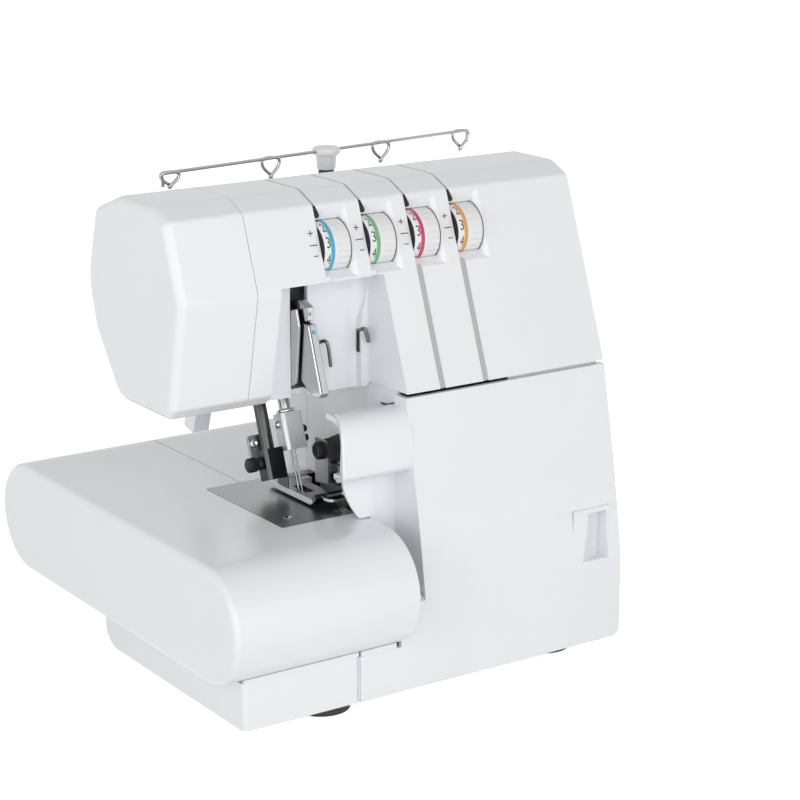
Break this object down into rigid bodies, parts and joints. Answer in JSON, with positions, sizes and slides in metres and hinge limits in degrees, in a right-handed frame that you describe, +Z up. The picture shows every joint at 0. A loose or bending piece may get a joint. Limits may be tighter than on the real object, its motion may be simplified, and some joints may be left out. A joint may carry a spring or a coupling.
{
  "type": "serger overlock machine",
  "caption": "Table-top overlock machine with free arm, leaning twin-needle head, thread tension dials, knives, loopers, swing-down looper cover and telescopic thread guide.",
  "frame": {"origin": "middle of the footprint, on the surface the feet stand on", "axes": "+X to the right as the operator sees it, +Y away from the operator, +Z up"},
  "size_m": [0.312, 0.342, 0.305],
  "materials": {
    "white_housing": "smooth moulded",
    "white_dial": "smooth moulded with a coloured ring",
    "black_plastic": "fine grain",
    "rubber_black": "matte",
    "belt_rubber": "matte ribbed",
    "steel_plate": "satin ground",
    "chrome_bar": "polished",
    "tool_steel": "ground",
    "cast_frame": "cast",
    "bronze": "sintered",
    "mast_dark": "satin",
    "wire_steel": "drawn wire",
    "motor_case": "satin",
    "spool_grey": "smooth"
  },
  "bodies": {
    "root": {"base_tray": "white_housing", "rubber_feet": "rubber_black", "bed_housing": "white_housing", "free_arm": "white_housing", "needle_plate": "steel_plate", "upper_front_cover": "white_housing", "rear_cover": "white_housing", "head_end_cover": "white_housing", "side_cover": "white_housing", "main_frame": "cast_frame", "bearing_bushes": "bronze", "tension_bracket": "tool_steel", "tension_studs": "tool_steel", "tension_discs": "chrome_bar", "pivot_pins": "tool_steel", "lower_knife": "tool_steel", "lower_knife_bracket": "cast_frame", "drive_belt": "belt_rubber", "motor": "motor_case", "power_inlet": "black_plastic", "mast_tube": "mast_dark", "spool_stand": "white_housing", "spool_pins": "wire_steel", "spool_seats": "spool_grey", "recess_thread_hooks": "wire_steel"},
    "table": {"extension_table": "white_housing"},
    "cover_carriage": {"cover_hinge_rod": "tool_steel"},
    "cover": {"front_cover": "white_housing"},
    "dial_1": {"tension_dial_1": "white_dial"},
    "dial_2": {"tension_dial_2": "white_dial"},
    "dial_3": {"tension_dial_3": "white_dial"},
    "dial_4": {"tension_dial_4": "white_dial"},
    "needle": {"needle_bar": "chrome_bar", "needle_clamp": "chrome_bar", "needles": "chrome_bar", "needle_set_screws": "tool_steel"},
    "take_up": {"take_up_lever": "chrome_bar"},
    "lifter": {"presser_lever": "white_housing"},
    "presser": {"presser_bar": "chrome_bar", "foot_ankle": "chrome_bar", "foot_screw": "black_plastic", "presser_foot": "chrome_bar"},
    "knife": {"knife_shaft": "tool_steel", "knife_arm": "black_plastic", "upper_knife": "tool_steel", "knife_screw": "tool_steel"},
    "looper_low": {"lower_looper": "chrome_bar"},
    "looper_up": {"upper_looper": "chrome_bar"},
    "feed": {"feed_dog": "tool_steel"},
    "drive": {"handwheel": "white_housing", "main_shaft": "tool_steel", "main_pulley": "cast_frame"},
    "rotor": {"motor_pulley": "tool_steel"},
    "length_dial": {"stitch_length_dial": "white_dial"},
    "differential": {"differential_dial": "white_dial"},
    "switch": {"power_switch": "black_plastic"},
    "mast": {"mast_rod": "chrome_bar"},
    "guide_head": {"guide_cap": "white_dial", "guide_bar": "wire_steel"}
  },
  "joints": [
    {"name": "table_pull", "type": "slide", "parent": "root", "child": "table", "axis": [-1, 0, 0], "range_m": [0, 0.125]},
    {"name": "cover_slide", "type": "slide", "parent": "root", "child": "cover_carriage", "axis": [1, 0, 0], "range_m": [0, 0.01]},
    {"name": "cover_swing", "type": "hinge", "parent": "cover_carriage", "child": "cover", "pos_m": [0.061, -0.1424, 0.0104], "axis": [1, 0, 0], "range_deg": [0, 75]},
    {"name": "tension_1_turn", "type": "hinge", "parent": "root", "child": "dial_1", "pos_m": [-0.0504, -0.08467, 0.26724], "axis": [1, 0, 0], "range_deg": [-130, 190]},
    {"name": "tension_2_turn", "type": "hinge", "parent": "root", "child": "dial_2", "pos_m": [-0.0188, -0.08467, 0.26724], "axis": [1, 0, 0], "range_deg": [-130, 190]},
    {"name": "tension_3_turn", "type": "hinge", "parent": "root", "child": "dial_3", "pos_m": [0.0128, -0.08467, 0.26724], "axis": [1, 0, 0], "range_deg": [-130, 190]},
    {"name": "tension_4_turn", "type": "hinge", "parent": "root", "child": "dial_4", "pos_m": [0.0444, -0.08467, 0.26724], "axis": [1, 0, 0], "range_deg": [-130, 190]},
    {"name": "needle_stroke", "type": "slide", "parent": "root", "child": "needle", "axis": [0, 0.342, 0.9397], "range_m": [-0.011, 0.018]},
    {"name": "take_up_swing", "type": "hinge", "parent": "root", "child": "take_up", "pos_m": [-0.056, -0.049, 0.229], "axis": [1, 0, 0], "range_deg": [-10.9, 6.7]},
    {"name": "lifter_swing", "type": "hinge", "parent": "root", "child": "lifter", "pos_m": [-0.077, -0.015, 0.211], "axis": [1, 0, 0], "range_deg": [0, 40]},
    {"name": "presser_lift", "type": "slide", "parent": "root", "child": "presser", "axis": [0, 0.342, 0.9397], "range_m": [0, 0.00601]},
    {"name": "knife_rock", "type": "hinge", "parent": "root", "child": "knife", "pos_m": [-0.021, -0.093, 0.149], "axis": [1, 0, 0], "range_deg": [-6.7, 10.9]},
    {"name": "lower_looper_swing", "type": "hinge", "parent": "root", "child": "looper_low", "pos_m": [-0.022, -0.037, 0.053], "axis": [0, 1, 0], "range_deg": [-9.1, 5.6]},
    {"name": "upper_looper_swing", "type": "hinge", "parent": "root", "child": "looper_up", "pos_m": [-0.0145, -0.045, 0.073], "axis": [0, 1, 0], "range_deg": [-5.6, 9.1]},
    {"name": "feed_travel", "type": "slide", "parent": "root", "child": "feed", "axis": [0, 1, 0], "range_m": [-0.002, 0.002]},
    {"name": "handwheel_turn", "type": "hinge", "parent": "root", "child": "drive", "pos_m": [0.147, -0.059, 0.091], "axis": [1, 0, 0], "continuous": true},
    {"name": "motor_turn", "type": "hinge", "parent": "root", "child": "rotor", "pos_m": [0.101, 0.049, 0.07], "axis": [1, 0, 0], "continuous": true},
    {"name": "stitch_length_turn", "type": "hinge", "parent": "root", "child": "length_dial", "pos_m": [0.141, -0.091, 0.153], "axis": [1, 0, 0], "range_deg": [-60, 120]},
    {"name": "differential_turn", "type": "hinge", "parent": "root", "child": "differential", "pos_m": [0.141, -0.045, 0.153], "axis": [1, 0, 0], "range_deg": [-60, 120]},
    {"name": "switch_rock", "type": "hinge", "parent": "root", "child": "switch", "pos_m": [0.128, -0.103, 0.053], "axis": [0, 1, 0], "range_deg": [-12, 0]},
    {"name": "mast_extend", "type": "slide", "parent": "root", "child": "mast", "axis": [0, 0, 1], "range_m": [0, 0.15]},
    {"name": "guide_head_turn", "type": "hinge", "parent": "mast", "child": "guide_head", "pos_m": [0.031, 0.027, 0.302], "axis": [0, 0, 1], "range_deg": [-24, 8]}
  ],
  "couplings": [
    {"joint": "take_up_swing", "follows": "needle_stroke", "rad_per_m": -10.472},
    {"joint": "knife_rock", "follows": "needle_stroke", "rad_per_m": 10.472},
    {"joint": "lower_looper_swing", "follows": "needle_stroke", "rad_per_m": -8.7266},
    {"joint": "upper_looper_swing", "follows": "needle_stroke", "rad_per_m": 8.7266},
    {"joint": "feed_travel", "follows": "needle_stroke", "ratio": 0.1},
    {"joint": "presser_lift", "follows": "lifter_swing", "m_per_rad": 0.008594},
    {"joint": "motor_turn", "follows": "handwheel_turn", "ratio": 3.25}
  ]
}
